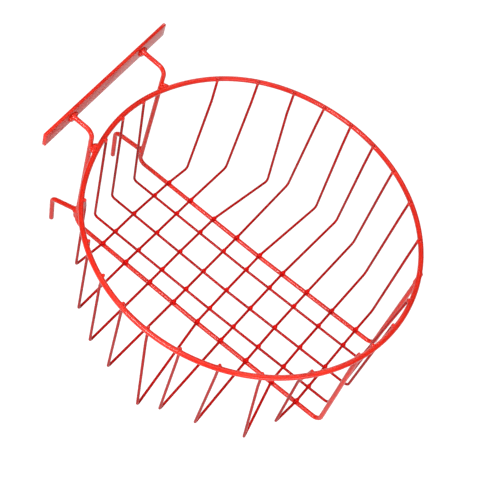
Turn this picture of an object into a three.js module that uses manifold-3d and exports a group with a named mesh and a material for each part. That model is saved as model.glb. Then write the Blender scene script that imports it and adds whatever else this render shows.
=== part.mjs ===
// Hanging welded-wire basket with two hanger arms, a flat hanger strap and two lower pegs.
// Units are millimetres and +Z is up. +X points away from the frame that carries the basket.
// The origin is the middle of the underside of the hanger strap, where the basket is held.
import * as THREE from 'three';
import Module from 'manifold-3d';

const wasm = await Module();
wasm.setup();
const { Manifold, Mesh: ManifoldMesh } = wasm;

// ---------------------------------------------------------------- driving dimensions
const GAP = 0.3;             // clearance left between pieces that touch
const LEANING_GAP = 0.4;     // and where one of them leans

const RIM_RADIUS = 187.5;    // centre line of the rim
const RIM_BAR = 6.0;         // diameter of the rim bar
const RIM_HEIGHT = 146.4;    // rim centre line above the level where floor wires cross
// The rim is a little out of round: around each of these angles it stands out or in.
const RIM_WAVES = [
  { at: 131, spread: 27, out: 3.6 },
  { at: 200.5, spread: 20, out: -3.8 },
];

const RAIL_BAR = 5.4;        // diameter of the two heavy frame rails
// Each rail, measured at its far end, far bend, middle, near bend, top bend and arm.
const RAILS = {
  pos_y: { endY: 64, far: [178, 65.4], middleY: 63.2, near: [-187, 65.8], top: [-185.6, 64], armY: 64 },
  neg_y: {
    endY: -58.6, far: [184.3, -61.5], middleY: -62.2, near: [-181.6, -59.1], top: [-182.3, -61.3], armY: -62,
  },
};
const RAIL_FAR_BEND = 9;
const RAIL_NEAR_BEND = { pos_y: 9, neg_y: 14 };
const ARM_BEND = 10;
const ARM_BEND_HEIGHT = 171; // centre line of the arms where they turn in from the risers
const ARM_END_HEIGHT = 173.5; // and where they meet the strap

const WIRE = 3.2;            // diameter of the thin wires
const LONG_WIRES = [
  { endY: 36, far: [177.1, 36.6], middleY: 35.4, near: [-172.4, 37.6], nearEndY: 28.6 },
  { endY: -2, far: [185.4, -2.5], middleY: -4.4, near: [-175.3, -1.1], nearEndY: -6.3 },
  { endY: -37.5, far: [180.2, -36.8], middleY: -38.2, near: [-171.7, -36.5], nearEndY: -42.3 },
];
const CROSS_WIRES = 9;
const CROSS_PITCH = 36.4;
const CROSS_MIDDLE_X = 6.2;
const FLOOR_RADIUS = 177;    // circle through the corners where cross wires leave the floor
const FLOOR_SHIFT = 4.5;     // that circle sits this far towards +X under the rim
const KINK = { number: 9, side: 'neg_y', x: 143.5, y: -99, z: 100 };  // one wire end bent over at the top
const KINK_BEND = 24;
const WIRE_BEND = { pos_y: 5.0, neg_y: 3.4 };
const LONG_WIRE_BEND = 5.0;
// How far the wires' ends stand above the rim's centre line, on each side.
const END_ABOVE_RIM = { pos_y: 4.3, neg_y: 2.0, far: 2.6, near: 3.0 };
const LEG_TOP = 118;         // height from where a leg leans over to its weld on the rim
const LEG_TOP_BEND = 40;

// Bends left in the cross wires by hand, wire by wire: the floor corner's shift along X and out
// along Y, the leg's shift along X at the rim, then the shift along X over the rail.
const HAND_BENDS = {
  pos_y: {
    1: [2.4, -5.1, -3.9, 0.4],
    2: [-0.2, -4.6, -5.9, -0.6],
    3: [13.5, -2.4, -5.5, 0.4],
    4: [-0.5, 1.3, -3.1, 0.8],
    5: [9.5, -3.5, -2.1, 0.1],
    6: [4.3, 3.2, -2.8, -0.7],
    7: [2.3, 5.2, -2.6, -0.1],
    8: [2.1, 0.3, -1.7, 0.8],
    9: [1.5, 1.9, -3.5, 0.6],
  },
  neg_y: {
    1: [-1.6, 1.7, -6.5, 1.3],
    2: [2, 5, -1.7, 0.2],
    3: [1.2, 5.1, -5.8, 0.8],
    4: [-0.3, 3.5, -4.6, 0.9],
    5: [15.8, 12.6, -7.1, 0.5],
    6: [0.4, 4.1, -4.3, -1.1],
    7: [2.5, 2.3, -1.4, -0.3],
    8: [16.7, 1.1, -2.8, 0],
    9: [-4.1, 1.7, -4, -0.4],
  },
};
// Some wires were pushed along the rim before they were welded, this far from the line of the leg.
const END_SHIFTS = {
  pos_y: { 1: -1.9, 2: -1.2, 3: 0.7 },
  neg_y: { 1: 5.9, 3: 4.3, 4: 1.3, 5: 2, 8: 1.5, 9: 1.9 },
};
// Shift along X of each cross wire at the middle of the floor.
const MIDDLE_BENDS = [-0.2, 0, 0.1, 0.7, 0, -1.1, -1, -0.2, 0.1];
const OVER_RAIL_Y = { pos_y: 64, neg_y: -61.5 };
const OVER_RAIL_BEND = 15;
const SLACK_BEND = 200;      // radius of the barely visible bow in the middle of a bar

const STRAP_LENGTH = 216;
const STRAP_HEIGHT = 18;
const STRAP_THICKNESS = 4;
const STRAP_FACE_X = -214.0; // face of the strap that the arms meet, at its middle
const STRAP_TOP = 183.6;
const STRAP_CORNER = 1.2;
const STRAP_SKEW = 4.4;      // degrees the strap is turned about Z, out of square with the rails

const STRUT_BAR = 6.0;
const STRUT_BEND = 7;
const STRUTS = {
  pos_y: { y: 64, height: 18, cornerX: -228.5, cornerZ: 17.5, pegX: -225, pegZ: -26.5 },
  neg_y: { y: -61.5, height: 20.5, cornerX: -217.5, cornerZ: 10.5, pegX: -214.5, pegZ: -27.5 },
};
const PEG_DOME = 2.1;        // how far the rounded tip stands out past the end of the bar

const BAR_SIDES = 12;
const WIRE_SIDES = 10;
const RIM_STEPS = 72;

// ---------------------------------------------------------------- materials
const powderCoat = new THREE.MeshStandardMaterial({
  name: 'powder_coat_red', color: 0xd41910, roughness: 0.38, metalness: 0.0,
});
const paintedWeld = new THREE.MeshStandardMaterial({
  name: 'painted_weld_red', color: 0xc9170f, roughness: 0.45, metalness: 0.0,
});

// ---------------------------------------------------------------- levels that follow
const RAIL_Z = -(GAP / 2 + RAIL_BAR / 2);
const LONG_Z = -(GAP / 2 + WIRE / 2);
const CROSS_Z = GAP / 2 + WIRE / 2;
const INSIDE = RIM_BAR / 2 + WIRE / 2 + 1.5 * GAP;
const SKEW = THREE.MathUtils.degToRad(STRAP_SKEW);
const STRAP_X = STRAP_FACE_X - STRAP_THICKNESS / 2 / Math.cos(SKEW);
const STRAP_Z = STRAP_TOP - STRAP_HEIGHT / 2;
const ORIGIN = new THREE.Vector3(STRAP_X, 0, STRAP_TOP - STRAP_HEIGHT);

const V = (x, y, z) => new THREE.Vector3(x, y, z);

// ---------------------------------------------------------------- bars that follow a bent route
// Stations of a route through corners: [point, bend radius] each, with arcs in place of corners.
function stations(corners, arcSteps) {
  const out = [corners[0][0].clone()];
  for (let i = 1; i < corners.length - 1; i += 1) {
    const [p, radius] = corners[i];
    const before = corners[i - 1][0].clone().sub(p).normalize();
    const after = corners[i + 1][0].clone().sub(p).normalize();
    const half = before.angleTo(after) / 2;
    const reach = radius / Math.tan(half);
    const start = p.clone().addScaledVector(before, reach);
    const middle = before.clone().add(after).normalize();
    const centre = p.clone().addScaledVector(middle, radius / Math.sin(half));
    const from = start.clone().sub(centre).normalize();
    const axis = new THREE.Vector3().crossVectors(before, after).normalize();
    const steps = Math.max(2, Math.round(arcSteps * (Math.PI - 2 * half) / (Math.PI / 2)));
    for (let k = 0; k <= steps; k += 1) {
      const turn = -(Math.PI - 2 * half) * (k / steps);
      const arm = from.clone().applyAxisAngle(axis, turn).multiplyScalar(radius);
      out.push(centre.clone().add(arm));
    }
  }
  out.push(corners[corners.length - 1][0].clone());
  return out;
}

// A curve that visits its stations one by one, so straight runs need no steps of their own.
class Route extends THREE.Curve {
  constructor(points) {
    super();
    this.points = points;
  }

  getPoint(t, target = new THREE.Vector3()) {
    const last = this.points.length - 1;
    const at = Math.min(last, Math.max(0, t * last));
    const i = Math.min(last - 1, Math.floor(at));
    return target.lerpVectors(this.points[i], this.points[i + 1], at - i);
  }

  getPointAt(t, target) {
    return this.getPoint(t, target);
  }

  getTangentAt(t, target = new THREE.Vector3()) {
    const last = this.points.length - 1;
    const i = Math.round(t * last);
    const here = this.points[i];
    const back = i > 0 ? here.clone().sub(this.points[i - 1]).normalize() : V(0, 0, 0);
    const ahead = i < last ? this.points[i + 1].clone().sub(here).normalize() : V(0, 0, 0);
    return target.copy(back.add(ahead).normalize());
  }

  getSpacedPoints() {
    return this.points.map((p) => p.clone());
  }
}

function section(diameter, sides) {
  const shape = new THREE.Shape();
  for (let k = 0; k < sides; k += 1) {
    const a = (2 * Math.PI * (k + 0.5)) / sides;
    const x = (diameter / 2) * Math.cos(a);
    const y = (diameter / 2) * Math.sin(a);
    if (k === 0) shape.moveTo(x, y);
    else shape.lineTo(x, y);
  }
  shape.closePath();
  return shape;
}

function bar(corners, diameter, sides, arcSteps = 5) {
  const points = stations(corners, arcSteps);
  return new THREE.ExtrudeGeometry(section(diameter, sides), {
    steps: points.length - 1,
    bevelEnabled: false,
    extrudePath: new Route(points),
  });
}

// ---------------------------------------------------------------- solids
function solid(geometry) {
  const flat = geometry.index ? geometry.toNonIndexed() : geometry;
  const pos = flat.attributes.position;
  const seen = new Map();
  const verts = [];
  const tris = [];
  for (let i = 0; i < pos.count; i += 1) {
    const p = [pos.getX(i), pos.getY(i), pos.getZ(i)];
    const key = p.map((c) => Math.round(c * 1e4)).join(',');
    if (!seen.has(key)) {
      seen.set(key, verts.length / 3);
      verts.push(...p);
    }
    tris.push(seen.get(key));
  }
  const kept = [];
  for (let i = 0; i < tris.length; i += 3) {
    const [a, b, c] = [tris[i], tris[i + 1], tris[i + 2]];
    if (a !== b && b !== c && a !== c) kept.push(a, b, c);
  }
  const mesh = new ManifoldMesh({
    numProp: 3, vertProperties: new Float32Array(verts), triVerts: new Uint32Array(kept),
  });
  return new Manifold(mesh);
}

function geometryOf(manifold) {
  const mesh = manifold.getMesh();
  const geometry = new THREE.BufferGeometry();
  const verts = new Float32Array(mesh.numVert * 3);
  for (let i = 0; i < mesh.numVert; i += 1) {
    for (let k = 0; k < 3; k += 1) verts[3 * i + k] = mesh.vertProperties[i * mesh.numProp + k];
  }
  geometry.setAttribute('position', new THREE.BufferAttribute(verts, 3));
  geometry.setIndex(Array.from(mesh.triVerts));
  const flat = geometry.toNonIndexed();
  flat.computeVertexNormals();
  return flat;
}

const group = new THREE.Group();
group.name = 'hanging_wire_basket';

function place(name, geometry, material) {
  geometry.translate(-ORIGIN.x, -ORIGIN.y, -ORIGIN.z);
  const mesh = new THREE.Mesh(geometry, material);
  mesh.name = name;
  group.add(mesh);
}

// ---------------------------------------------------------------- rim ring
function rimRadius(x, y) {
  const angle = (THREE.MathUtils.radToDeg(Math.atan2(y, x)) + 360) % 360;
  const wave = (sum, w) => sum + w.out * Math.exp(-(((angle - w.at) / w.spread) ** 2));
  return RIM_WAVES.reduce(wave, RIM_RADIUS);
}

function ring(radius, diameter, sides, steps) {
  const profile = [];
  for (let k = 0; k <= sides; k += 1) {
    const a = (2 * Math.PI * (k % sides)) / sides;
    profile.push(new THREE.Vector2(radius + (diameter / 2) * Math.cos(a), (diameter / 2) * Math.sin(a)));
  }
  const geometry = new THREE.LatheGeometry(profile, steps);
  geometry.rotateX(Math.PI / 2);
  const pos = geometry.attributes.position;
  for (let i = 0; i < pos.count; i += 1) {
    const [x, y] = [pos.getX(i), pos.getY(i)];
    const scale = 1 + (rimRadius(x, y) - radius) / Math.hypot(x, y);
    pos.setXYZ(i, x * scale, y * scale, pos.getZ(i));
  }
  return geometry.translate(0, 0, RIM_HEIGHT);
}

place('rim_ring', ring(RIM_RADIUS, RIM_BAR, BAR_SIDES, RIM_STEPS), powderCoat);

// ---------------------------------------------------------------- heavy rails with their arms
const SIDES = { pos_y: 1, neg_y: -1 };
const FAR_END_Z = RIM_HEIGHT - RIM_BAR / 2 - GAP;
const farEndX = (y) => Math.sqrt(RIM_RADIUS ** 2 - y ** 2) - 1;
const strapFaceX = (y) => STRAP_FACE_X - y * Math.tan(SKEW);

function railCorners(side) {
  const { endY, far, middleY, near, top, armY } = RAILS[side];
  const endGap = GAP + RAIL_BAR / 2 * Math.tan(SKEW);
  return [
    [V(farEndX(endY), endY, FAR_END_Z)],
    [V(far[0], far[1], RAIL_Z), RAIL_FAR_BEND],
    [V(0, middleY, RAIL_Z), SLACK_BEND],
    [V(near[0], near[1], RAIL_Z), RAIL_NEAR_BEND[side]],
    [V(top[0], top[1], ARM_BEND_HEIGHT), ARM_BEND],
    [V(strapFaceX(armY) + endGap, armY, ARM_END_HEIGHT)],
  ];
}

// Point at a given height on the centre line of a riser.
function riserAt(side, z) {
  const { near, top } = RAILS[side];
  const t = (z - RAIL_Z) / (ARM_BEND_HEIGHT - RAIL_Z);
  return V(near[0] + t * (top[0] - near[0]), near[1] + t * (top[1] - near[1]), z);
}

for (const side of Object.keys(SIDES)) {
  place(`frame_rail_${side}`, bar(railCorners(side), RAIL_BAR, BAR_SIDES), powderCoat);
}

// ---------------------------------------------------------------- thin wires along X
const floorReach = (across) => Math.sqrt(FLOOR_RADIUS ** 2 - across ** 2);

// Point just inside the rim at a fixed x or y, on the side given by the sign.
function insideRim(fixed, value, sign, aboveRim) {
  let other = sign * Math.sqrt(RIM_RADIUS ** 2 - value ** 2);
  for (let pass = 0; pass < 12; pass += 1) {
    const [x, y] = fixed === 'x' ? [value, other] : [other, value];
    other = sign * Math.sqrt((rimRadius(x, y) - INSIDE) ** 2 - value ** 2);
  }
  const z = RIM_HEIGHT + aboveRim;
  return fixed === 'x' ? V(value, other, z) : V(other, value, z);
}

// Point on the straight line from one point to another at the height where a leg leans over.
function legTop(from, to) {
  return from.clone().lerp(to, (LEG_TOP - from.z) / (to.z - from.z));
}

LONG_WIRES.forEach(({ endY, far, middleY, near, nearEndY }, i) => {
  const corners = [
    [insideRim('y', endY, 1, END_ABOVE_RIM.far)],
    [V(far[0], far[1], LONG_Z), LONG_WIRE_BEND],
    [V(0, middleY, LONG_Z), SLACK_BEND],
    [V(near[0], near[1], LONG_Z), LONG_WIRE_BEND],
    [insideRim('y', nearEndY, -1, END_ABOVE_RIM.near)],
  ];
  place(`long_wire_${i + 1}`, bar(corners, WIRE, WIRE_SIDES, 4), powderCoat);
});

// ---------------------------------------------------------------- thin wires along Y
const crossX = (number) => CROSS_MIDDLE_X + (number - (CROSS_WIRES + 1) / 2) * CROSS_PITCH;

function crossCorners(number, side) {
  const s = SIDES[side];
  const x = crossX(number);
  const [floorX, floorY, legX, overRailX] = HAND_BENDS[side][number];
  const floor = V(x + floorX, s * (floorReach(x - FLOOR_SHIFT) + floorY), CROSS_Z);
  const aim = insideRim('x', x + legX, s, 1.5);
  const shift = END_SHIFTS[side][number] ?? 0;
  const kinked = number === KINK.number && side === KINK.side;
  return [
    [insideRim('x', x + legX + shift, s, END_ABOVE_RIM[side])],
    kinked ? [V(KINK.x, KINK.y, KINK.z), KINK_BEND] : [legTop(floor, aim), LEG_TOP_BEND],
    [floor, WIRE_BEND[side]],
    [V(x + overRailX, OVER_RAIL_Y[side], CROSS_Z), OVER_RAIL_BEND],
  ];
}

for (let number = 1; number <= CROSS_WIRES; number += 1) {
  const corners = [
    ...crossCorners(number, 'pos_y'),
    [V(crossX(number) + MIDDLE_BENDS[number - 1], 0, CROSS_Z), SLACK_BEND],
    ...crossCorners(number, 'neg_y').reverse(),
  ];
  place(`cross_wire_${number}`, bar(corners, WIRE, WIRE_SIDES, 4), powderCoat);
}

// ---------------------------------------------------------------- hanger strap
function strap() {
  const h = STRAP_HEIGHT / 2;
  const t = STRAP_THICKNESS / 2;
  const c = STRAP_CORNER;
  const outline = new THREE.Shape();
  outline.moveTo(-t, -h);
  outline.lineTo(t, -h);
  outline.lineTo(t, h - c);
  outline.lineTo(t - c / 3, h - c / 3);
  outline.lineTo(t - c, h);
  outline.lineTo(-t + c, h);
  outline.lineTo(-t + c / 3, h - c / 3);
  outline.lineTo(-t, h - c);
  outline.closePath();
  const geometry = new THREE.ExtrudeGeometry(outline, { depth: STRAP_LENGTH, bevelEnabled: false });
  geometry.translate(0, 0, -STRAP_LENGTH / 2);
  geometry.rotateX(Math.PI / 2);
  geometry.rotateZ(SKEW);
  return geometry.translate(STRAP_X, 0, STRAP_Z);
}

place('hanger_strap', strap(), powderCoat);

// ---------------------------------------------------------------- lower struts, bent down to pegs
function strutCorners(side) {
  const strut = STRUTS[side];
  const riser = riserAt(side, strut.height);
  const startX = riser.x - RAIL_BAR / 2 - LEANING_GAP;
  const slope = Math.atan2(Math.abs(strut.height - strut.cornerZ), startX - strut.cornerX);
  return [
    [V(startX - STRUT_BAR / 2 * Math.sin(slope), riser.y, strut.height)],
    [V(strut.cornerX, strut.y, strut.cornerZ), STRUT_BEND],
    [V(strut.pegX, strut.y, strut.pegZ)],
  ];
}

// Rounded tip of a peg: a shallow dome with a short shank that reaches up inside the bar.
function pegTip(side) {
  const strut = STRUTS[side];
  const radius = STRUT_BAR / 2;
  const rings = 4;
  const profile = [new THREE.Vector2(0, -PEG_DOME)];
  for (let k = 1; k <= rings; k += 1) {
    const a = (Math.PI / 2) * (k / rings);
    profile.push(new THREE.Vector2(radius * Math.sin(a), -PEG_DOME * Math.cos(a)));
  }
  profile.push(new THREE.Vector2(radius, 2), new THREE.Vector2(0, 2));
  const tip = new THREE.LatheGeometry(profile, BAR_SIDES, Math.PI / BAR_SIDES);
  tip.rotateX(Math.PI / 2);
  tip.rotateY(Math.atan2(strut.cornerX - strut.pegX, strut.cornerZ - strut.pegZ));
  return tip.translate(strut.pegX, strut.y, strut.pegZ);
}

for (const side of Object.keys(SIDES)) {
  const rod = solid(bar(strutCorners(side), STRUT_BAR, BAR_SIDES));
  const tip = solid(pegTip(side));
  place(`lower_strut_${side}`, geometryOf(rod.add(tip)), powderCoat);
}

// ---------------------------------------------------------------- weld beads
// A lumpy collar round a bar end, or a blob beside a crossing, cut clear of the bars it joins.
function lumpy(radii, lumps, seed) {
  const ball = new THREE.IcosahedronGeometry(1, 3);
  const pos = ball.attributes.position;
  for (let i = 0; i < pos.count; i += 1) {
    const p = V(pos.getX(i), pos.getY(i), pos.getZ(i));
    const wave = Math.sin(lumps * p.x + seed) * Math.sin(lumps * p.y + 2 * seed)
      + Math.sin(lumps * p.z + 3 * seed) * Math.cos(lumps * p.x);
    p.multiply(radii).multiplyScalar(1 + 0.05 * wave);
    pos.setXYZ(i, p.x, p.y, p.z);
  }
  return ball;
}

function cutter(corners, diameter) {
  return solid(bar(corners, diameter + 2 * GAP, 24, 6));
}

function bead(name, centre, radii, cutters, seed) {
  let body = solid(lumpy(radii, 4, seed).translate(centre.x, centre.y, centre.z));
  for (const c of cutters) body = body.subtract(c);
  const pieces = body.decompose().sort((a, b) => b.volume() - a.volume());
  place(name, geometryOf(pieces[0]), paintedWeld);
}

const RISER_BEAD_OFFSET = 3.2;   // of each riser bead along the rim, from the line between bar and rim
const rimCutter = solid(ring(RIM_RADIUS, RIM_BAR + 2 * GAP, 24, 2 * RIM_STEPS));
const strapCutter = solid(new THREE.BoxGeometry(20, STRAP_LENGTH, STRAP_HEIGHT + 20)
  .translate(GAP / Math.cos(SKEW) - 10, 0, 0)
  .rotateZ(SKEW)
  .translate(STRAP_FACE_X, 0, STRAP_Z));

Object.entries(SIDES).forEach(([side, s], i) => {
  const { endY, armY } = RAILS[side];
  const low = riserAt(side, STRUTS[side].height);
  const high = riserAt(side, RIM_HEIGHT);
  const rail = cutter(railCorners(side), RAIL_BAR);
  const strut = cutter(strutCorners(side), STRUT_BAR);

  bead(`weld_arm_strap_${side}`, V(strapFaceX(armY) + 1.2, armY, ARM_END_HEIGHT - 0.6), V(3.6, 6.6, 5.2),
    [strapCutter, rail], 1.3 + i);
  bead(`weld_strut_riser_${side}`, V(low.x - RAIL_BAR / 2 - 0.8, low.y, low.z), V(3.4, 4.3, 5.4),
    [rail, strut], 2.1 + i);
  bead(`weld_rail_far_rim_${side}`, V(farEndX(endY), endY, FAR_END_Z - 0.6), V(4.4, 4.4, 3.0),
    [rimCutter, rail], 0.7 + i);
  // Two beads fill the gap between riser and rim, one towards the middle and one away from it.
  const outward = V(high.x, high.y, 0).normalize();
  const along = V(-outward.y, outward.x, 0);
  const riserInside = Math.hypot(high.x, high.y) - RAIL_BAR / 2;
  const rimOutside = rimRadius(high.x, high.y) + RIM_BAR / 2;
  const gapMiddle = outward.multiplyScalar((riserInside + rimOutside) / 2).setZ(RIM_HEIGHT);
  for (const [tag, t] of [['out', 1], ['in', -1]]) {
    bead(`weld_riser_rim_${side}_${tag}`,
      gapMiddle.clone().addScaledVector(along, -s * t * RISER_BEAD_OFFSET), V(3.6, 2.7, 3.8),
      [rimCutter, rail], 3.3 + i + t);
  }
});

// Weld seam where the rim bar closes on itself.
const SEAM_ANGLE = 23 * Math.PI / 180;
const SEAM_OUTLINE = [
  [3.3, -2.2], [3.55, -1.9], [3.8, -0.8], [3.85, 0.6], [3.6, 1.8], [3.3, 2.2], [3.3, -2.2],
];
const seamProfile = SEAM_OUTLINE.map(([r, h]) => new THREE.Vector2(r, h));
const seam = new THREE.LatheGeometry(seamProfile, 20);
seam.rotateZ(SEAM_ANGLE);
seam.translate(RIM_RADIUS * Math.cos(SEAM_ANGLE), RIM_RADIUS * Math.sin(SEAM_ANGLE), RIM_HEIGHT);
place('weld_rim_seam', seam, paintedWeld);

export default group;
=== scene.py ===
# Visual model of the hanging wire basket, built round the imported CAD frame.
# Lengths in the tables below are millimetres in the design frame: the rim's axis is x = 0, y = 0, and
# z = 0 is the level where the floor wires cross. row() turns them into metres in the row frame.
# RIM_WAVES, RAILS, LONG_WIRES, HAND_BENDS, END_SHIFTS, MIDDLE_BENDS and the camera hold rounded results
# of fits to the photo, which scratch programs made. They aren't numbers chosen by hand.
import math
import bpy
import numpy as np
from mathutils import Euler, Matrix, Vector


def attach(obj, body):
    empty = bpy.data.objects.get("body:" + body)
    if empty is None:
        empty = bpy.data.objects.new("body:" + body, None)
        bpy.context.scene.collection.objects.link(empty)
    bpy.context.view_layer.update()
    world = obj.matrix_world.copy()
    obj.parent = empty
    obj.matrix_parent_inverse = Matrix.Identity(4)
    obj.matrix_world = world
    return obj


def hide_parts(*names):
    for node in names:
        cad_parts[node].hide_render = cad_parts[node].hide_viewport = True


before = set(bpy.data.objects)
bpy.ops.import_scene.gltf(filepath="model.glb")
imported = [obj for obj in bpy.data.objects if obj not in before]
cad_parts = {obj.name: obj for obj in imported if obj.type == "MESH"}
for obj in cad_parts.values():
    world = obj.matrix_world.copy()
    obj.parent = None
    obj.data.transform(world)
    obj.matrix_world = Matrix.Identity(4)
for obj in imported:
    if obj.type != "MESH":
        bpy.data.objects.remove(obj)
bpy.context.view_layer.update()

# ------------------------------------------------------------------ dimensions, as in the CAD
GAP, LEANING_GAP = 0.3, 0.4
RIM_RADIUS, RIM_BAR, RIM_HEIGHT = 187.5, 6.0, 146.4
RIM_WAVES = ((131.0, 27.0, 3.6), (200.5, 20.0, -3.8))
RAIL_BAR = 5.4
SIDES = {"pos_y": 1, "neg_y": -1}
# Each rail, measured at its far end, far bend, middle, near bend, top bend and arm.
RAILS = {
    "pos_y": {"end_y": 64.0, "far": (178.0, 65.4), "middle_y": 63.2,
              "near": (-187.0, 65.8), "top": (-185.6, 64.0), "arm_y": 64.0},
    "neg_y": {"end_y": -58.6, "far": (184.3, -61.5), "middle_y": -62.2,
              "near": (-181.6, -59.1), "top": (-182.3, -61.3), "arm_y": -62.0},
}
RAIL_FAR_BEND, RAIL_END_IN = 9.0, 1.0
RAIL_NEAR_BEND = {"pos_y": 9.0, "neg_y": 14.0}
ARM_BEND, ARM_BEND_HEIGHT, ARM_END_HEIGHT = 10.0, 171.0, 173.5
WIRE = 3.2
# Each long wire: y of its far end, its far corner, y of its middle, its near corner, y of its near end.
LONG_WIRES = (
    (36.0, (177.1, 36.6), 35.4, (-172.4, 37.6), 28.6),
    (-2.0, (185.4, -2.5), -4.4, (-175.3, -1.1), -6.3),
    (-37.5, (180.2, -36.8), -38.2, (-171.7, -36.5), -42.3),
)
CROSS_WIRES, CROSS_PITCH, CROSS_MIDDLE_X = 9, 36.4, 6.2
FLOOR_RADIUS, FLOOR_SHIFT = 177.0, 4.5
KINK = (9, "neg_y", (143.5, -99.0, 100.0), 24.0)
WIRE_BEND = {"pos_y": 5.0, "neg_y": 3.4}
LONG_WIRE_BEND = 5.0
# How far the wires' ends stand above the rim's centre line, on each side.
END_ABOVE_RIM = {"pos_y": 4.3, "neg_y": 2.0, "far": 2.6, "near": 3.0}
# The legs run straight up to LEG_TOP, on a line that meets the rim this far above its centre line.
LEG_TOP, LEG_TOP_BEND, LEG_AIM = 118.0, 40.0, 1.5
# The ends are melted this far into the rim. The CAD keeps a gap there instead.
SUNK = 1.1
# How far each cross wire is from a regular shape: the floor corner's shift along x and out along y,
# the leg's shift along x at the rim, then the shift along x over the rail. Wire 5's corner on the -Y
# side is 0.07 mm nearer than in the CAD, to stay in its box.
HAND_BENDS = {
    "pos_y": {
        1: (2.4, -5.1, -3.9, 0.4), 2: (-0.2, -4.6, -5.9, -0.6), 3: (13.5, -2.4, -5.5, 0.4),
        4: (-0.5, 1.3, -3.1, 0.8), 5: (9.5, -3.5, -2.1, 0.1), 6: (4.3, 3.2, -2.8, -0.7),
        7: (2.3, 5.2, -2.6, -0.1), 8: (2.1, 0.3, -1.7, 0.8), 9: (1.5, 1.9, -3.5, 0.6),
    },
    "neg_y": {
        1: (-1.6, 1.7, -6.5, 1.3), 2: (2.0, 5.0, -1.7, 0.2), 3: (1.2, 5.1, -5.8, 0.8),
        4: (-0.3, 3.5, -4.6, 0.9), 5: (15.8, 12.53, -7.1, 0.5), 6: (0.4, 4.1, -4.3, -1.1),
        7: (2.5, 2.3, -1.4, -0.3), 8: (16.7, 1.1, -2.8, 0.0), 9: (-4.1, 1.7, -4.0, -0.4),
    },
}
# How far some wires' ends are along the rim from the line of the leg.
END_SHIFTS = {
    "pos_y": {1: -1.9, 2: -1.2, 3: 0.7},
    "neg_y": {1: 5.9, 3: 4.3, 4: 1.3, 5: 2.0, 8: 1.5, 9: 1.9},
}
# Shift along x of each cross wire at the middle of the floor.
MIDDLE_BENDS = (-0.2, 0.0, 0.1, 0.7, 0.0, -1.1, -1.0, -0.2, 0.1)
OVER_RAIL_Y = {"pos_y": 64.0, "neg_y": -61.5}
OVER_RAIL_BEND = 15.0
SLACK_BEND = 200.0
STRAP_LENGTH, STRAP_HEIGHT, STRAP_THICKNESS = 216.0, 18.0, 4.0
STRAP_FACE_X, STRAP_TOP, STRAP_SKEW = -214.0, 183.6, math.radians(4.4)
STRUT_BAR, STRUT_BEND = 6.0, 7.0
# Each strut: its y, the height where it leaves the riser, then x and z of its bend and of its peg.
STRUTS = {
    "pos_y": (64.0, 18.0, (-228.5, 17.5), (-225.0, -26.5)),
    "neg_y": (-61.5, 20.5, (-217.5, 10.5), (-214.5, -27.5)),
}
# The struts are drawn a hair thinner than in the CAD, whose bars are many-sided, to stay in its box.
STRUT_DRAWN = 5.84
# Ends of the bars: how far a peg's dome stands out and the share of its width left flat at the tip,
# then the easing of a cut edge, the slight crown of a cut face and the share of it that is flat.
PEG_DOME, DOME_TIP = 2.08, 0.03
CUT_EASE, CUT_CROWN, CUT_FLAT = 0.45, 0.02, 0.45
# Lengths between the sections of a swept bar, then degrees between those of a bend and of the rim.
RUN_STEP, STRUT_STEP, ARC_STEP, RIM_STEP = 7.0, 5.0, 7.0, 1.5
THIN_SIDES, HEAVY_SIDES = 24, 32
# Strap: rolled top edges, sharper bottom edges, and its sheared ends as (back from the end, inset).
STRAP_TOP_EDGE, STRAP_BOTTOM_EDGE = 1.25, 0.5
STRAP_ENDS = ((0.0, 0.35), (0.12, 0.12), (0.35, 0.0))
STRAP_PLAIN_FROM, STRAP_SECTIONS = 8.0, 26
SEAM_ANGLE = math.radians(23)
# Welds: the size of a grid cell and the ripple's depth in each kind, then the spot welds' reach. A
# spot weld's lump is given by its radii, and by how far it rises, or sinks into the rim while the
# wire's tip stops short. Last come how far a weld's skin stands out and sinks, and a ripple's length.
BEAD_CELL, BEAD_RIPPLE = 0.34, 0.14
SPOT_CELL, FLOOR_SPOT_RIPPLE, RIM_SPOT_RIPPLE = 0.36, 0.03, 0.05
FLOOR_SPOT_REACH, RIM_SPOT_REACH = {RAIL_BAR: 5.6, WIRE: 4.6}, 6.6
FLOOR_SPOT_LUMP, FLOOR_SPOT_RISE, FLOOR_SPOT_SQUASH = (2.7, 2.7, 2.0), 1.2, 0.35
RIM_SPOT_LUMP, RIM_SPOT_INSET, RIM_SPOT_SHORT = (1.2, 1.2, 1.8), 0.3, 1.1
SKIN_OUT, SKIN_SINK, RIPPLE_LENGTH = 0.10, 0.42, 0.62

RAIL_Z = -(GAP / 2 + RAIL_BAR / 2)
LONG_Z = -(GAP / 2 + WIRE / 2)
CROSS_Z = GAP / 2 + WIRE / 2
INSIDE = RIM_BAR / 2 + WIRE / 2 + 1.5 * GAP
WELDED = RIM_BAR / 2 + WIRE / 2 - SUNK
STRAP_X = STRAP_FACE_X - STRAP_THICKNESS / 2 / math.cos(STRAP_SKEW)
ORIGIN = np.array((STRAP_X, 0.0, STRAP_TOP - STRAP_HEIGHT))
FAR_END_Z = RIM_HEIGHT - RIM_BAR / 2 - GAP

rng = np.random.default_rng(20)


def row(points):
    """Design-frame millimetres to row-frame metres."""
    return (np.asarray(points, float) - ORIGIN) / 1000.0


def unit(v):
    return v / np.linalg.norm(v)


# ------------------------------------------------------------------ routes of the bars
def rim_radius(x, y):
    angle = np.degrees(np.arctan2(y, x)) % 360
    out = RIM_RADIUS
    for at, spread, far in RIM_WAVES:
        out = out + far * np.exp(-(((angle - at) / spread) ** 2))
    return out


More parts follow.
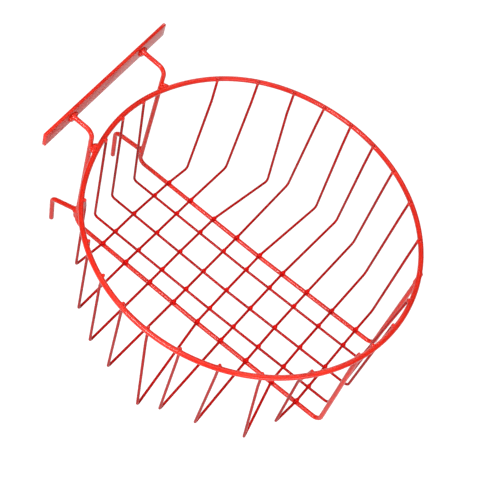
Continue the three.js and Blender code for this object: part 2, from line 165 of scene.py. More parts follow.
def inside_rim(fixed, value, sign, above, inside=INSIDE):
    """Point a little inside the rim's centre line at a fixed x or y."""
    other = sign * math.sqrt(RIM_RADIUS ** 2 - value ** 2)
    for _ in range(12):
        x, y = (value, other) if fixed == "x" else (other, value)
        other = sign * math.sqrt((rim_radius(x, y) - inside) ** 2 - value ** 2)
    z = RIM_HEIGHT + above
    return (value, other, z) if fixed == "x" else (other, value, z)


def far_end_x(y):
    """Where a rail's far end stands, a little inside the rim's centre line."""
    return math.sqrt(RIM_RADIUS ** 2 - y ** 2) - RAIL_END_IN


def strap_face_x(y):
    return STRAP_FACE_X - y * math.tan(STRAP_SKEW)


def rail_corners(side):
    rail = RAILS[side]
    end_gap = GAP + RAIL_BAR / 2 * math.tan(STRAP_SKEW)
    return [
        ((far_end_x(rail["end_y"]), rail["end_y"], FAR_END_Z), 0),
        ((*rail["far"], RAIL_Z), RAIL_FAR_BEND),
        ((0.0, rail["middle_y"], RAIL_Z), SLACK_BEND),
        ((*rail["near"], RAIL_Z), RAIL_NEAR_BEND[side]),
        ((*rail["top"], ARM_BEND_HEIGHT), ARM_BEND),
        ((strap_face_x(rail["arm_y"]) + end_gap, rail["arm_y"], ARM_END_HEIGHT), 0),
    ]


def riser_at(side, z):
    """Point at a given height on the centre line of a riser."""
    low = np.array((*RAILS[side]["near"], RAIL_Z))
    high = np.array((*RAILS[side]["top"], ARM_BEND_HEIGHT))
    return low + (high - low) * (z - RAIL_Z) / (ARM_BEND_HEIGHT - RAIL_Z)


def long_corners(number):
    end_y, far, middle_y, near_corner, near_end_y = LONG_WIRES[number - 1]
    return [
        (inside_rim("y", end_y, 1, END_ABOVE_RIM["far"], WELDED), 0),
        ((*far, LONG_Z), LONG_WIRE_BEND),
        ((0.0, middle_y, LONG_Z), SLACK_BEND),
        ((*near_corner, LONG_Z), LONG_WIRE_BEND),
        (inside_rim("y", near_end_y, -1, END_ABOVE_RIM["near"], WELDED), 0),
    ]


def cross_x(number):
    return CROSS_MIDDLE_X + (number - (CROSS_WIRES + 1) / 2) * CROSS_PITCH


def cross_half(number, side):
    s = SIDES[side]
    x = cross_x(number)
    floor_x, floor_y, leg_x, over_rail_x = HAND_BENDS[side][number]
    reach = math.sqrt(FLOOR_RADIUS ** 2 - (x - FLOOR_SHIFT) ** 2)
    floor = np.array((x + floor_x, s * (reach + floor_y), CROSS_Z))
    aim = np.array(inside_rim("x", x + leg_x, s, LEG_AIM))
    leg_top = floor + (aim - floor) * (LEG_TOP - floor[2]) / (aim[2] - floor[2])
    end_x = x + leg_x + END_SHIFTS[side].get(number, 0.0)
    kinked = (number, side) == KINK[:2]
    return [
        (inside_rim("x", end_x, s, END_ABOVE_RIM[side], WELDED), 0),
        (KINK[2], KINK[3]) if kinked else (leg_top, LEG_TOP_BEND),
        (floor, WIRE_BEND[side]),
        ((x + over_rail_x, OVER_RAIL_Y[side], CROSS_Z), OVER_RAIL_BEND),
    ]


def cross_corners(number):
    middle = ((cross_x(number) + MIDDLE_BENDS[number - 1], 0.0, CROSS_Z), SLACK_BEND)
    return cross_half(number, "pos_y") + [middle] + cross_half(number, "neg_y")[::-1]


def strut_corners(side):
    y, height, corner, peg = STRUTS[side]
    riser = riser_at(side, height)
    start = riser[0] - RAIL_BAR / 2 - LEANING_GAP
    slope = math.atan2(abs(height - corner[1]), start - corner[0])
    return [
        ((start - STRUT_BAR / 2 * math.sin(slope), riser[1], height), 0),
        ((corner[0], y, corner[1]), STRUT_BEND),
        ((peg[0], y, peg[1]), 0),
    ]


def route(corners, step=RUN_STEP):
    """Points along the bent bar: arcs in place of corners, straight runs cut into short steps."""
    pts = [np.array(corners[0][0], float)]

    def run_to(end):
        start = pts[-1]
        n = max(1, int(round(np.linalg.norm(end - start) / step)))
        pts.extend(start + (end - start) * k / n for k in range(1, n + 1))

    for i in range(1, len(corners) - 1):
        p, radius = np.array(corners[i][0], float), corners[i][1]
        before = unit(np.array(corners[i - 1][0]) - p)
        after = unit(np.array(corners[i + 1][0]) - p)
        half = math.acos(np.clip(before @ after, -1, 1)) / 2
        start = p + before * radius / math.tan(half)
        centre = p + unit(before + after) * radius / math.sin(half)
        arm = start - centre
        axis = Vector(np.cross(before, after)).normalized()
        turn = math.pi - 2 * half
        run_to(start)
        n = max(3, int(round(math.degrees(turn) / ARC_STEP)))
        for k in range(1, n + 1):
            spun = Matrix.Rotation(-turn * k / n, 3, axis) @ Vector(arm)
            pts.append(centre + np.array(spun))
    run_to(np.array(corners[-1][0], float))
    return np.array(pts)


# ------------------------------------------------------------------ swept bars
def frames(pts, closed=False):
    """A tangent and two side directions at each point, carried along without twist."""
    if closed:
        tangents = np.roll(pts, -1, 0) - np.roll(pts, 1, 0)
    else:
        tangents = np.gradient(pts, axis=0)
        steps = np.diff(pts, axis=0)
        steps /= np.linalg.norm(steps, axis=1)[:, None]
        tangents[1:-1] = steps[:-1] + steps[1:]
        tangents[0], tangents[-1] = steps[0], steps[-1]
    tangents /= np.linalg.norm(tangents, axis=1)[:, None]
    side = np.cross(tangents[0], (0.0, 0.0, 1.0))
    if np.linalg.norm(side) < 0.1:
        side = np.cross(tangents[0], (0.0, 1.0, 0.0))
    sides = [unit(side)]
    for t in tangents[1:]:
        s = sides[-1] - t * (sides[-1] @ t)
        sides.append(unit(s))
    sides = np.array(sides)
    return tangents, sides, np.cross(tangents, sides)


def mesh_piece(name, verts_mm, faces):
    mesh = bpy.data.meshes.new(name)
    mesh.from_pydata(row(verts_mm).tolist(), [], faces)
    mesh.validate()
    mesh.update()
    mesh.polygons.foreach_set("use_smooth", [True] * len(mesh.polygons))
    obj = bpy.data.objects.new(name, mesh)
    bpy.context.scene.collection.objects.link(obj)
    return obj


def end_sections(end, before, radius, cap):
    """Sections that finish a bar at its end point, as (points, radii), from the bar outwards."""
    way = unit(end - before)
    if cap == "dome":
        turns = np.linspace(0, math.pi / 2, 9)[1:-1]
        rows = [end + way * PEG_DOME * math.sin(a) for a in turns] + [end + way * PEG_DOME]
        sizes = [radius * math.cos(a) for a in turns] + [radius * DOME_TIP]
        return [end] + rows, [radius] + sizes
    base = end - way * CUT_EASE
    turns = np.linspace(0, math.pi / 2, 5)[1:]
    rows = [base] + [base + way * CUT_EASE * math.sin(a) for a in turns]
    sizes = [radius] + [radius - CUT_EASE * (1 - math.cos(a)) for a in turns]
    return rows + [end + way * CUT_CROWN], sizes + [(radius - CUT_EASE) * CUT_FLAT]


def swept(name, pts, diameter, sides=THIN_SIDES, end_cap="cut", closed=False):
    """A round bar along the points. A cut end has its edge eased, a dome end is rounded over."""
    pts = np.array(pts, float)
    radius = diameter / 2
    radii = np.full(len(pts), radius)
    if not closed:
        start_rows, start_sizes = end_sections(pts[0], pts[1], radius, "cut")
        end_rows, end_sizes = end_sections(pts[-1], pts[-2], radius, end_cap)
        pts = np.vstack([start_rows[::-1], pts[1:-1], end_rows])
        radii = np.concatenate([start_sizes[::-1], radii[1:-1], end_sizes])
    tangents, u, v = frames(pts, closed)
    around = 2 * math.pi * np.arange(sides) / sides
    rings = (pts[:, None, :]
             + radii[:, None, None] * (np.cos(around)[None, :, None] * u[:, None, :]
                                       + np.sin(around)[None, :, None] * v[:, None, :]))
    verts = rings.reshape(-1, 3)
    n = len(pts)
    faces = []
    for i in range(n if closed else n - 1):
        a, b = i * sides, ((i + 1) % n) * sides
        for k in range(sides):
            m = (k + 1) % sides
            faces.append((a + k, a + m, b + m, b + k))
    if not closed:
        faces.append(tuple(range(sides))[::-1])
        faces.append(tuple(range((n - 1) * sides, n * sides)))
    return mesh_piece(name, verts, faces)


# ------------------------------------------------------------------ welds as smooth solids
def distance_to_line(grid, pts):
    """Distance from each grid point to a chain of straight pieces."""
    best = np.full(grid.shape[:-1], 1e9)
    for a, b in zip(pts[:-1], pts[1:]):
        ab = b - a
        t = np.clip(((grid - a) @ ab) / (ab @ ab), 0, 1)
        best = np.minimum(best, np.linalg.norm(grid - a - t[..., None] * ab, axis=-1))
    return best


def smooth_union(a, b, k):
    h = np.clip(0.5 + 0.5 * (b - a) / k, 0, 1)
    return b + (a - b) * h - k * h * (1 - h)


def near(pts, centre, reach):
    """The part of a chain of points that passes near the centre."""
    hit = np.nonzero(np.linalg.norm(pts - centre, axis=1) < reach)[0]
    lo, hi = max(0, hit[0] - 1), min(len(pts) - 1, hit[-1] + 1)
    return pts[lo:hi + 1]


def surface_net(values, lowest, cell):
    """A closed surface of quads where the values change sign."""
    inside = values < 0
    shape = values.shape
    corner_ids = [(i, j, k) for i in (0, 1) for j in (0, 1) for k in (0, 1)]
    cells = tuple(s - 1 for s in shape)

    def corner(arr, c):
        return arr[c[0]:c[0] + cells[0], c[1]:c[1] + cells[1], c[2]:c[2] + cells[2]]

    count = sum(corner(inside, c).astype(int) for c in corner_ids)
    active = (count > 0) & (count < 8)
    total = np.zeros(cells + (3,))
    crossings = np.zeros(cells)
    for a in corner_ids:
        for axis in range(3):
            if a[axis]:
                continue
            b = tuple(1 if i == axis else a[i] for i in range(3))
            va, vb = corner(values, a), corner(values, b)
            cross = (va < 0) != (vb < 0)
            t = np.where(cross, va / np.where(cross, va - vb, 1.0), 0.0)
            at = np.zeros(cells + (3,)) + np.array(a, float)
            at[..., axis] += t
            total += np.where(cross[..., None], at, 0.0)
            crossings += cross
    index = -np.ones(cells, int)
    index[active] = np.arange(int(active.sum()))
    place = np.argwhere(active) + total[active] / crossings[active][:, None]
    verts = lowest + place * cell
    faces = []
    for axis in range(3):
        u, v = (axis + 1) % 3, (axis + 2) % 3
        low = [slice(None)] * 3
        high = [slice(None)] * 3
        low[axis], high[axis] = slice(0, -1), slice(1, None)
        starts, ends = inside[tuple(low)], inside[tuple(high)]
        for at in np.argwhere(starts != ends):
            if at[u] == 0 or at[v] == 0 or at[u] >= cells[u] or at[v] >= cells[v]:
                continue
            quad = []
            for du, dv in ((-1, -1), (0, -1), (0, 0), (-1, 0)):
                c = at.copy()
                c[u] += du
                c[v] += dv
                quad.append(int(index[tuple(c)]))
            if min(quad) < 0:
                continue
            faces.append(tuple(quad) if starts[tuple(at)] else tuple(quad[::-1]))
    return verts, faces


def ripple(grid, scale, phase):
    """A smooth bumpy field between about -1 and 1."""
    x, y, z = (grid[..., i] / scale for i in range(3))
    return (np.sin(x + phase) * np.sin(y * 1.1 + 2 * phase)
            + np.sin(z * 0.9 + 3 * phase) * np.cos(x * 1.3 - phase)) / 2


def weld_solid(bars, lumps, centre, reach, blend, cell, phase, bump, squash=1.0):
    """Fused metal and paint round a joint, as corners and faces. It runs out into each bar, where it
    sinks under the bar's own surface. bars holds (points, diameter) and lumps (place, radii). With a
    squash under 1, the weld stands out over a greater height than it does along the bars."""
    centre = np.array(centre, float)
    n = int(math.ceil(2 * reach / cell)) + 3
    lowest = centre - cell * (n - 1) / 2
    axes = [lowest[i] + cell * np.arange(n) for i in range(3)]
    grid = np.stack(np.meshgrid(*axes, indexing="ij"), axis=-1)
    away = np.linalg.norm(grid - centre, axis=-1)
    spread = np.linalg.norm((grid - centre) * (1.0, 1.0, squash), axis=-1)
    fade = np.clip((spread / reach - 0.45) / 0.4, 0, 1)
    skin = SKIN_OUT - SKIN_SINK * fade * fade * (3 - 2 * fade)
    field = None
    for pts, diameter in bars:
        d = distance_to_line(grid, near(pts, centre, 1.6 * reach)) - diameter / 2 - skin
        field = d if field is None else smooth_union(field, d, blend)
    for place, radii in lumps:
        q = (grid - np.array(place)) / np.array(radii)
        length = np.linalg.norm(q, axis=-1)
        d = (length - 1) * min(radii)
        field = smooth_union(field, d, blend)
    field = field - bump * ripple(grid, RIPPLE_LENGTH, phase) * (1 - fade)
    field = np.maximum(field, away - (reach - 1.2 * cell))
    return surface_net(field, lowest, cell)


def joined(name, parts):
    """One piece from several closed surfaces, each given as its corners and faces."""
    verts, faces, start = [], [], 0
    for v, f in parts:
        verts.append(v)
        faces += [tuple(i + start for i in face) for face in f]
        start += len(v)
    return mesh_piece(name, np.vstack(verts), faces)


# ------------------------------------------------------------------ materials
def powder_coat(name, tint, bump_depth, rough, specular=0.22, clear=0.35):
    """Glossy red powder coat: orange peel, thin and thick places, faint scuffs and settled dust."""
    mat = bpy.data.materials.new(name)
    mat.use_nodes = True
    nodes, links = mat.node_tree.nodes, mat.node_tree.links
    nodes.clear()

    def add(kind, **values):
        node = nodes.new(kind)
        for key, value in values.items():
            if key in node.inputs:
                node.inputs[key].default_value = value
            else:
                setattr(node, key, value)
        return node

    def ramp(stops):
        node = nodes.new("ShaderNodeValToRGB")
        elements = node.color_ramp.elements
        elements[0].position, elements[0].color = stops[0][0], stops[0][1]
        elements[1].position, elements[1].color = stops[-1][0], stops[-1][1]
        for position, color in stops[1:-1]:
            elements.new(position).color = color
        return node

    out = add("ShaderNodeOutputMaterial")
    shader = add("ShaderNodeBsdfPrincipled")
    links.new(shader.outputs["BSDF"], out.inputs["Surface"])
    coords = add("ShaderNodeTexCoord")
    place = coords.outputs["Object"]

    cloud = add("ShaderNodeTexNoise", Scale=38.0, Detail=4.0, Roughness=0.55)
    speck = add("ShaderNodeTexNoise", Scale=420.0, Detail=3.0, Roughness=0.6)
    peel = add("ShaderNodeTexNoise", Scale=820.0, Detail=2.0, Roughness=0.5)
    grit = add("ShaderNodeTexVoronoi", Scale=1500.0)
    scuff = add("ShaderNodeTexNoise", Scale=95.0, Detail=6.0, Roughness=0.7)
    for node in (cloud, speck, peel, grit, scuff):
        links.new(place, node.inputs["Vector"])

    shade = ramp([
        (0.30, tuple(c * 0.86 for c in tint) + (1.0,)),
        (0.52, tuple(tint) + (1.0,)),
        (0.72, (min(1.0, tint[0] * 1.06), tint[1] * 1.5, tint[2] * 1.35, 1.0)),
    ])
    links.new(cloud.outputs["Fac"], shade.inputs["Fac"])
    specks = ramp([(0.60, (1, 1, 1, 1)), (0.74, (0.80, 0.78, 0.78, 1))])
    links.new(speck.outputs["Fac"], specks.inputs["Fac"])
    fleck = add("ShaderNodeMix", data_type="RGBA", blend_type="MULTIPLY")
    fleck.inputs["Factor"].default_value = 0.55
    links.new(shade.outputs["Color"], fleck.inputs["A"])
    links.new(specks.outputs["Color"], fleck.inputs["B"])

    rub = ramp([(0.60, (0, 0, 0, 1)), (0.78, (1, 1, 1, 1))])
    links.new(scuff.outputs["Fac"], rub.inputs["Fac"])
    worn = add("ShaderNodeMix", data_type="RGBA", blend_type="MIX")
    worn.inputs["B"].default_value = (tint[0] * 0.92, tint[1] * 3.2 + 0.012, tint[2] * 3.2 + 0.012, 1.0)
    faint = add("ShaderNodeMath", operation="MULTIPLY")
    faint.inputs[1].default_value = 0.30
    links.new(rub.outputs["Color"], faint.inputs[0])
    links.new(faint.outputs["Value"], worn.inputs["Factor"])
    links.new(fleck.outputs["Result"], worn.inputs["A"])
    links.new(worn.outputs["Result"], shader.inputs["Base Color"])

    gloss = add("ShaderNodeMapRange")
    gloss.inputs["From Min"].default_value = 0.3
    gloss.inputs["From Max"].default_value = 0.7
    gloss.inputs["To Min"].default_value = rough - 0.05
    gloss.inputs["To Max"].default_value = rough + 0.07
    links.new(cloud.outputs["Fac"], gloss.inputs["Value"])
    duller = add("ShaderNodeMath", operation="MULTIPLY_ADD")
    duller.inputs[1].default_value = 0.16
    links.new(rub.outputs["Color"], duller.inputs[0])
    links.new(gloss.outputs["Result"], duller.inputs[2])
    links.new(duller.outputs["Value"], shader.inputs["Roughness"])

    wavy = add("ShaderNodeBump", Strength=0.07, Distance=bump_depth)
    links.new(peel.outputs["Fac"], wavy.inputs["Height"])
    fine = add("ShaderNodeBump", Strength=0.03, Distance=bump_depth * 0.4)
    links.new(grit.outputs["Distance"], fine.inputs["Height"])
    links.new(wavy.outputs["Normal"], fine.inputs["Normal"])
    links.new(fine.outputs["Normal"], shader.inputs["Normal"])

    shader.inputs["IOR"].default_value = 1.5
    shader.inputs["Specular IOR Level"].default_value = specular
    shader.inputs["Coat Weight"].default_value = clear
    shader.inputs["Coat Roughness"].default_value = 0.10
    return mat


# Each coat: tint, depth of its bumps in metres, roughness, then specular level and clear coat.
COAT = powder_coat("powder_coat_red", (0.76, 0.018, 0.006), 0.00006, 0.30)
# The thin wires get a darker copy of the same red. This is painted shade: it makes them read darker
# than the heavy bars, though their paint is the same.
THIN_COAT_PAINTED_SHADE = powder_coat("powder_coat_red_thin_wire_painted_shade", (0.50, 0.002, 0.001), 0.00005, 0.26, 0.08, 0.11)
WELD = powder_coat("painted_weld_red", (0.74, 0.017, 0.006), 0.00012, 0.34)
SPOT_WELD = powder_coat("painted_spot_weld_red", (0.76, 0.004, 0.002), 0.00006, 0.30, 0.07, 0.08)


def finish_piece(obj, material, slot, *nodes):
    obj.data.materials.append(material)
    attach(obj, "root")
    if nodes:
        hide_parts(*nodes)
    return obj


def coat(obj, *nodes, material=COAT):
    return finish_piece(obj, material, "powder_coat_red", *nodes)


def weld(obj, *nodes, material=WELD):
    return finish_piece(obj, material, "painted_weld_red", *nodes)


# ------------------------------------------------------------------ rim
angles = np.radians(np.arange(0, 360, RIM_STEP))
rim_line = np.stack([np.cos(angles), np.sin(angles), np.zeros_like(angles)], axis=1)
rim_line[:, :2] *= rim_radius(np.cos(angles), np.sin(angles))[:, None]
rim_line[:, 2] = RIM_HEIGHT
coat(swept("rim_bar", rim_line, RIM_BAR, sides=HEAVY_SIDES, closed=True), "rim_ring")
rim_loop = np.vstack([rim_line, rim_line[:2]])

# ------------------------------------------------------------------ rails, wires and struts
rails = {side: route(rail_corners(side)) for side in SIDES}
struts = {side: route(strut_corners(side), STRUT_STEP) for side in SIDES}
for side in SIDES:
    coat(swept(f"rail_bar_{side}", rails[side], RAIL_BAR, HEAVY_SIDES), f"frame_rail_{side}")
    coat(swept(f"strut_bar_{side}", struts[side], STRUT_DRAWN, HEAVY_SIDES, end_cap="dome"),
         f"lower_strut_{side}")
longs = {n: route(long_corners(n)) for n in range(1, len(LONG_WIRES) + 1)}
for n, line in longs.items():
    coat(swept(f"long_wire_bar_{n}", line, WIRE), f"long_wire_{n}", material=THIN_COAT_PAINTED_SHADE)
crosses = {n: route(cross_corners(n)) for n in range(1, CROSS_WIRES + 1)}
for n, line in crosses.items():
    coat(swept(f"cross_wire_bar_{n}", line, WIRE), f"cross_wire_{n}", material=THIN_COAT_PAINTED_SHADE)


# ------------------------------------------------------------------ strap
def strap_piece():
    """Flat bar with its long edges rounded over by rolling and its sheared ends eased."""
    h, t = STRAP_HEIGHT / 2, STRAP_THICKNESS / 2
    outline = []
    for cx, cz, r, start in ((t, h, STRAP_TOP_EDGE, 0), (-t, h, STRAP_TOP_EDGE, 90),
                             (-t, -h, STRAP_BOTTOM_EDGE, 180), (t, -h, STRAP_BOTTOM_EDGE, 270)):
        sx, sz = (1 if cx > 0 else -1), (1 if cz > 0 else -1)
        for a in np.linspace(0, 90, 7):
            ang = math.radians(start + a)
            outline.append((cx - sx * r + r * math.cos(ang), cz - sz * r + r * math.sin(ang)))
    outline = np.array(outline)
    half = STRAP_LENGTH / 2
    ends = [(half - back, inset) for back, inset in STRAP_ENDS]
    plain = np.linspace(half - STRAP_PLAIN_FROM, STRAP_PLAIN_FROM - half, STRAP_SECTIONS)
    stations = ends + [(y, 0.0) for y in plain] + [(-y, inset) for y, inset in reversed(ends)]
    rows = []
    for y, inset in stations:
        scale = np.array(((t - inset) / t, (h - inset) / h))
        pts = outline * scale
        rows.append(np.column_stack([pts[:, 0], np.full(len(pts), y), pts[:, 1]]))
    verts = np.vstack(rows)
    n, m = len(rows), len(outline)
    faces = []
    for i in range(n - 1):
        for k in range(m):
            q = (k + 1) % m
            faces.append((i * m + k, i * m + q, (i + 1) * m + q, (i + 1) * m + k))
    faces.append(tuple(range(m))[::-1])
    faces.append(tuple(range((n - 1) * m, n * m)))
    c, s = math.cos(STRAP_SKEW), math.sin(STRAP_SKEW)
    turned = verts.copy()
    turned[:, 0] = verts[:, 0] * c - verts[:, 1] * s + STRAP_X
    turned[:, 1] = verts[:, 0] * s + verts[:, 1] * c
    turned[:, 2] += STRAP_TOP - h
    return mesh_piece("strap_bar", turned, faces)


coat(strap_piece(), "hanger_strap")


# ------------------------------------------------------------------ structural weld beads
def bead(joint, bars, lumps, centre, reach, blend, phase):
    """Weld bead of one joint, in place of the CAD's bead there."""
    surface = weld_solid(bars, lumps, centre, reach, blend, BEAD_CELL, phase, BEAD_RIPPLE)
    weld(mesh_piece(f"bead_{joint}", *surface), f"weld_{joint}")


def arm_strap_bead(side, phase):
    """Bead round the end of an arm, on the strap's face."""
    y, z = RAILS[side]["arm_y"], ARM_END_HEIGHT
    face = strap_face_x(y)
    bead(f"arm_strap_{side}", [(rails[side], RAIL_BAR)],
         [((face + 0.7, y + 4.6, z - 0.6), (1.9, 2.4, 3.0)),
          ((face + 0.9, y - 4.4, z - 1.2), (2.1, 2.4, 3.2)),
          ((face + 1.2, y + 1.6, z - 4.2), (2.2, 2.8, 1.9)),
          ((face + 0.8, y - 1.9, z - 4.0), (1.9, 2.6, 2.0)),
          ((face + 0.6, y + 0.8, z + 3.0), (1.5, 2.8, 1.4))],
         (face + 2.2, y, z - 0.8), 9.0, 1.4, phase)


def strut_riser_bead(side, phase):
    """Bead down the riser where a strut meets it."""
    low = riser_at(side, STRUTS[side][1])
    bead(f"strut_riser_{side}", [(rails[side], RAIL_BAR), (struts[side], STRUT_DRAWN)],
         [(low + (-2.6, 2.6, 1.6), (2.2, 1.7, 2.2)),
          (low + (-2.4, -2.7, -0.6), (2.2, 1.7, 2.6)),
          (low + (-2.8, 0.6, -4.4), (2.2, 2.4, 1.7)),
          (low + (-2.6, -0.4, -8.2), (1.9, 2.4, 3.0)),
          (low + (-1.9, 0.2, -11.6), (1.8, 2.2, 2.4))],
         low + (-3.0, 0, -3.5), 13.5, 2.0, phase)


def rail_far_rim_bead(side, phase):
    """Bead where a rail's far end meets the underside of the rim."""
    y, z = RAILS[side]["end_y"], FAR_END_Z
    x = far_end_x(y)
    bead(f"rail_far_rim_{side}", [(rails[side], RAIL_BAR), (rim_loop, RIM_BAR)],
         [((x + 1.9, y + 0.9, z - 0.2), (1.7, 2.0, 1.4)),
          ((x - 1.6, y - 1.0, z + 0.2), (1.5, 1.9, 1.2)),
          ((x - 2.2, y + 3.2, z + 1.2), (1.5, 2.8, 1.6))],
         (x, y, z), 9.5, 1.9, phase)


def riser_rim_beads(side, phase):
    """Two beads, one on each side of a riser, where it passes the outside of the rim."""
    high = riser_at(side, RIM_HEIGHT)
    outward = unit(high * (1, 1, 0))
    along = np.array((-outward[1], outward[0], 0.0))
    riser_face = math.hypot(high[0], high[1]) - RAIL_BAR / 2
    rim_face = rim_radius(high[0], high[1]) + RIM_BAR / 2
    middle = outward * (riser_face + rim_face) / 2 + (0, 0, RIM_HEIGHT)
    for tag, turn in (("out", 1), ("in", -1)):
        away = -SIDES[side] * turn * along
        bead(f"riser_rim_{side}_{tag}", [(rails[side], RAIL_BAR), (rim_loop, RIM_BAR)],
             [(middle + away * 2.2 + (0, 0, 1.0), (2.8, 2.5, 2.6)),
              (middle + away * 1.6 + (0, 0, -1.8), (2.6, 2.4, 2.6)),
              (middle + away * 4.4 - outward * 0.5 + (0, 0, 0.4), (2.2, 2.0, 2.0))],
             middle + away * 2.0, 9.5, 1.9, phase + turn)


def rim_seam_bead(phase):
    """Small bump where the rim's bar closes on itself."""
    out = np.array((math.cos(SEAM_ANGLE), math.sin(SEAM_ANGLE), 0.0))
    at = out * RIM_RADIUS + (0, 0, RIM_HEIGHT)
    bead("rim_seam", [(rim_loop, RIM_BAR)],
         [(at + out * 1.8 + (0, 0, -0.2), (1.9, 3.0, 2.2)),
          (at - out * 0.6 + (0, 0, 1.5), (1.7, 1.6, 1.6))],
         at, 8.0, 1.2, phase)


for i, side in enumerate(SIDES):
    arm_strap_bead(side, 0.9 + i)
    strut_riser_bead(side, 2.1 + i)
    rail_far_rim_bead(side, 0.7 + i)
    riser_rim_beads(side, 3.3 + i)
rim_seam_bead(4.4)


# ------------------------------------------------------------------ spot welds of the thin wires
def crossing(line, axis, value):
    """Where a line first meets a fixed x or y at floor level."""
    floor = np.abs(line[:, 2]) < 4
    a = line[:-1][floor[:-1] & floor[1:]]
    b = line[1:][floor[:-1] & floor[1:]]
    hit = (a[:, axis] - value) * (b[:, axis] - value) <= 0
    k = np.nonzero(hit)[0][0]
    t = (value - a[k, axis]) / (b[k, axis] - a[k, axis])
    return a[k] + t * (b[k] - a[k])


def floor_spot(wire, line, size, x, phase):
    """Spot weld where a cross wire lies on a rail or long wire, near the given x."""
    y = crossing(line, 0, x)[1]
    over = crossing(wire, 1, y)
    centre = np.array((over[0], crossing(line, 0, over[0])[1], 0.0))
    jitter = rng.uniform(-0.25, 0.25, 3)
    return weld_solid([(wire, WIRE), (line, size)],
                      [(centre + jitter + (0, 0, FLOOR_SPOT_RISE), FLOOR_SPOT_LUMP)],
                      centre + (0, 0, -0.2), FLOOR_SPOT_REACH[size], 1.5, SPOT_CELL, phase,
                      FLOOR_SPOT_RIPPLE, FLOOR_SPOT_SQUASH)


def rim_spot(line, phase):
    """Spot weld at the rim of a thin wire whose line starts there. It covers the wire's tip."""
    tip = line[0]
    outward = unit(tip * (1, 1, 0))
    inner = rim_radius(tip[0], tip[1]) - RIM_BAR / 2 - RIM_SPOT_INSET
    joint = outward * inner + (0, 0, RIM_HEIGHT + RIM_SPOT_INSET)
    jitter = rng.uniform(-0.3, 0.3, 3)
    short = line.copy()
    short[0] = tip + unit(line[1] - tip) * RIM_SPOT_SHORT
    return weld_solid([(short, WIRE), (rim_loop, RIM_BAR)], [(joint + jitter, RIM_SPOT_LUMP)],
                      (joint + tip) / 2, RIM_SPOT_REACH, 1.0, SPOT_CELL, phase, RIM_SPOT_RIPPLE)


under_the_cross_wires = [
    (rails["pos_y"], RAIL_BAR), (longs[1], WIRE), (longs[2], WIRE), (longs[3], WIRE),
    (rails["neg_y"], RAIL_BAR),
]
for n, wire in crosses.items():
    spots = [floor_spot(wire, line, size, cross_x(n), n * 1.7 + j)
             for j, (line, size) in enumerate(under_the_cross_wires)]
    weld(joined(f"spot_welds_floor_{n}", spots), material=SPOT_WELD)

rim_ends = {
    "pos_y": list(crosses.values()),
    "neg_y": [line[::-1] for line in crosses.values()],
    "far": list(longs.values()),
    "near": [line[::-1] for line in longs.values()],
}
for group, lines in rim_ends.items():
    spots = [rim_spot(line, 0.8 + k * 1.3) for k, line in enumerate(lines)]
    weld(joined(f"spot_welds_rim_{group}", spots))

# ------------------------------------------------------------------ stage, light and camera
# Metres and watts in the row frame. The wall stands far behind everything, so that level views have a
# plain background too, and it gives no light.
FLOOR_Z, FLOOR_HALF = -0.46, 6
WALL_SIDES, WALL_RADIUS, WALL_HEIGHT = 64, 5.6, 6.0
STUDIO_GREY, STUDIO_GLOW = 0.35, 0.85
WORLD_GLOW = 0.10
MIDDLE = (0.216, 0.0, -0.09)
# Softboxes, all aimed at the middle of the basket: place, width and height, power.
SOFTBOXES = {
    "key": ((0.05, -0.95, 0.95), (0.6, 0.42), 15.0),
    "top": ((0.3, 0.2, 1.6), (1.6, 1.4), 10.0),
    "low": ((0.02, -1.26, 0.18), (0.9, 0.3), 3.0),
    "back": ((-0.7, 1.3, 0.55), (0.9, 0.6), 6.0),
    "fill": ((1.4, -0.75, 0.35), (0.9, 0.6), 9.0),
}
# The camera fitted to the photo: its place, its turn about x, y and z in degrees, its lens.
CAMERA_PLACE = (0.4028, -0.65058, 0.88336)
CAMERA_TURN = (32.3757, -14.3988, 36.6685)
CAMERA_LENS, CAMERA_SENSOR = 75.989, 36.0


def studio_white():
    """Plain pale material that glows a little, for the floor and the wall."""
    mat = bpy.data.materials.new("studio_floor_white")
    mat.use_nodes = True
    shader = mat.node_tree.nodes["Principled BSDF"]
    shader.inputs["Base Color"].default_value = (STUDIO_GREY, STUDIO_GREY, STUDIO_GREY, 1.0)
    shader.inputs["Emission Color"].default_value = (1.0, 1.0, 1.0, 1.0)
    shader.inputs["Emission Strength"].default_value = STUDIO_GLOW
    shader.inputs["Roughness"].default_value = 0.9
    return mat


def studio_sheet(name, corners, faces, material):
    mesh = bpy.data.meshes.new(name)
    mesh.from_pydata(corners, [], faces)
    mesh.materials.append(material)
    obj = bpy.data.objects.new(name, mesh)
    bpy.context.scene.collection.objects.link(obj)
    return obj


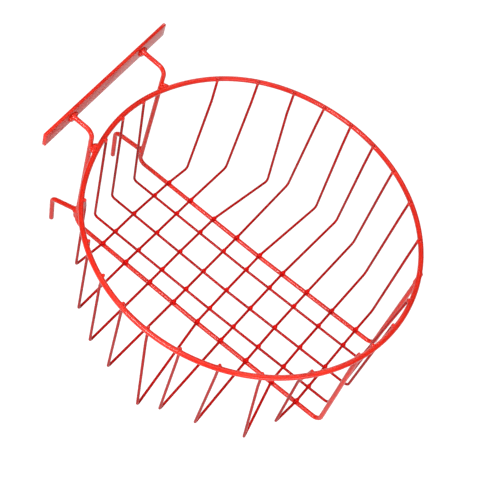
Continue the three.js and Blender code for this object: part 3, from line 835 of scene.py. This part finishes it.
white = studio_white()
floor_corners = [(x * FLOOR_HALF, y * FLOOR_HALF, FLOOR_Z)
                 for x, y in ((-1, -1), (1, -1), (1, 1), (-1, 1))]
floor = studio_sheet("studio_floor", floor_corners, [(0, 1, 2, 3)], white)
floor.visible_diffuse = False

wall_corners = [(WALL_RADIUS * math.cos(a), WALL_RADIUS * math.sin(a), z)
                for z in (FLOOR_Z, FLOOR_Z + WALL_HEIGHT)
                for a in np.linspace(0, 2 * math.pi, WALL_SIDES, endpoint=False)]
wall_faces = [(k, (k + 1) % WALL_SIDES, WALL_SIDES + (k + 1) % WALL_SIDES, WALL_SIDES + k)
              for k in range(WALL_SIDES)]
wall = studio_sheet("studio_wall", wall_corners, wall_faces, white)
wall.visible_diffuse = False
wall.visible_glossy = False
wall.visible_shadow = False

world = bpy.data.worlds.new("studio_world")
bpy.context.scene.world = world
world.use_nodes = True
background = world.node_tree.nodes["Background"]
background.inputs["Color"].default_value = (1.0, 1.0, 1.0, 1.0)
background.inputs["Strength"].default_value = WORLD_GLOW


def softbox(name, place, size, power):
    light = bpy.data.lights.new(name, "AREA")
    light.shape = "RECTANGLE"
    light.size, light.size_y = size
    light.energy = power
    obj = bpy.data.objects.new(name, light)
    bpy.context.scene.collection.objects.link(obj)
    obj.location = place
    obj.rotation_euler = (Vector(MIDDLE) - Vector(place)).to_track_quat("-Z", "Y").to_euler()


for name, (place, size, power) in SOFTBOXES.items():
    softbox(f"softbox_{name}", place, size, power)

camera_data = bpy.data.cameras.new("photo_camera")
camera_data.lens = CAMERA_LENS
camera_data.sensor_width = CAMERA_SENSOR
camera_data.clip_start = 0.05
camera_data.clip_end = 50.0
camera = bpy.data.objects.new("photo_camera", camera_data)
bpy.context.scene.collection.objects.link(camera)
camera_turn = Euler([math.radians(angle) for angle in CAMERA_TURN])
camera.matrix_world = Matrix.LocRotScale(Vector(CAMERA_PLACE), camera_turn, None)
bpy.context.scene.camera = camera
bpy.context.scene.view_settings.view_transform = "Standard"
bpy.context.scene.view_settings.look = "None"
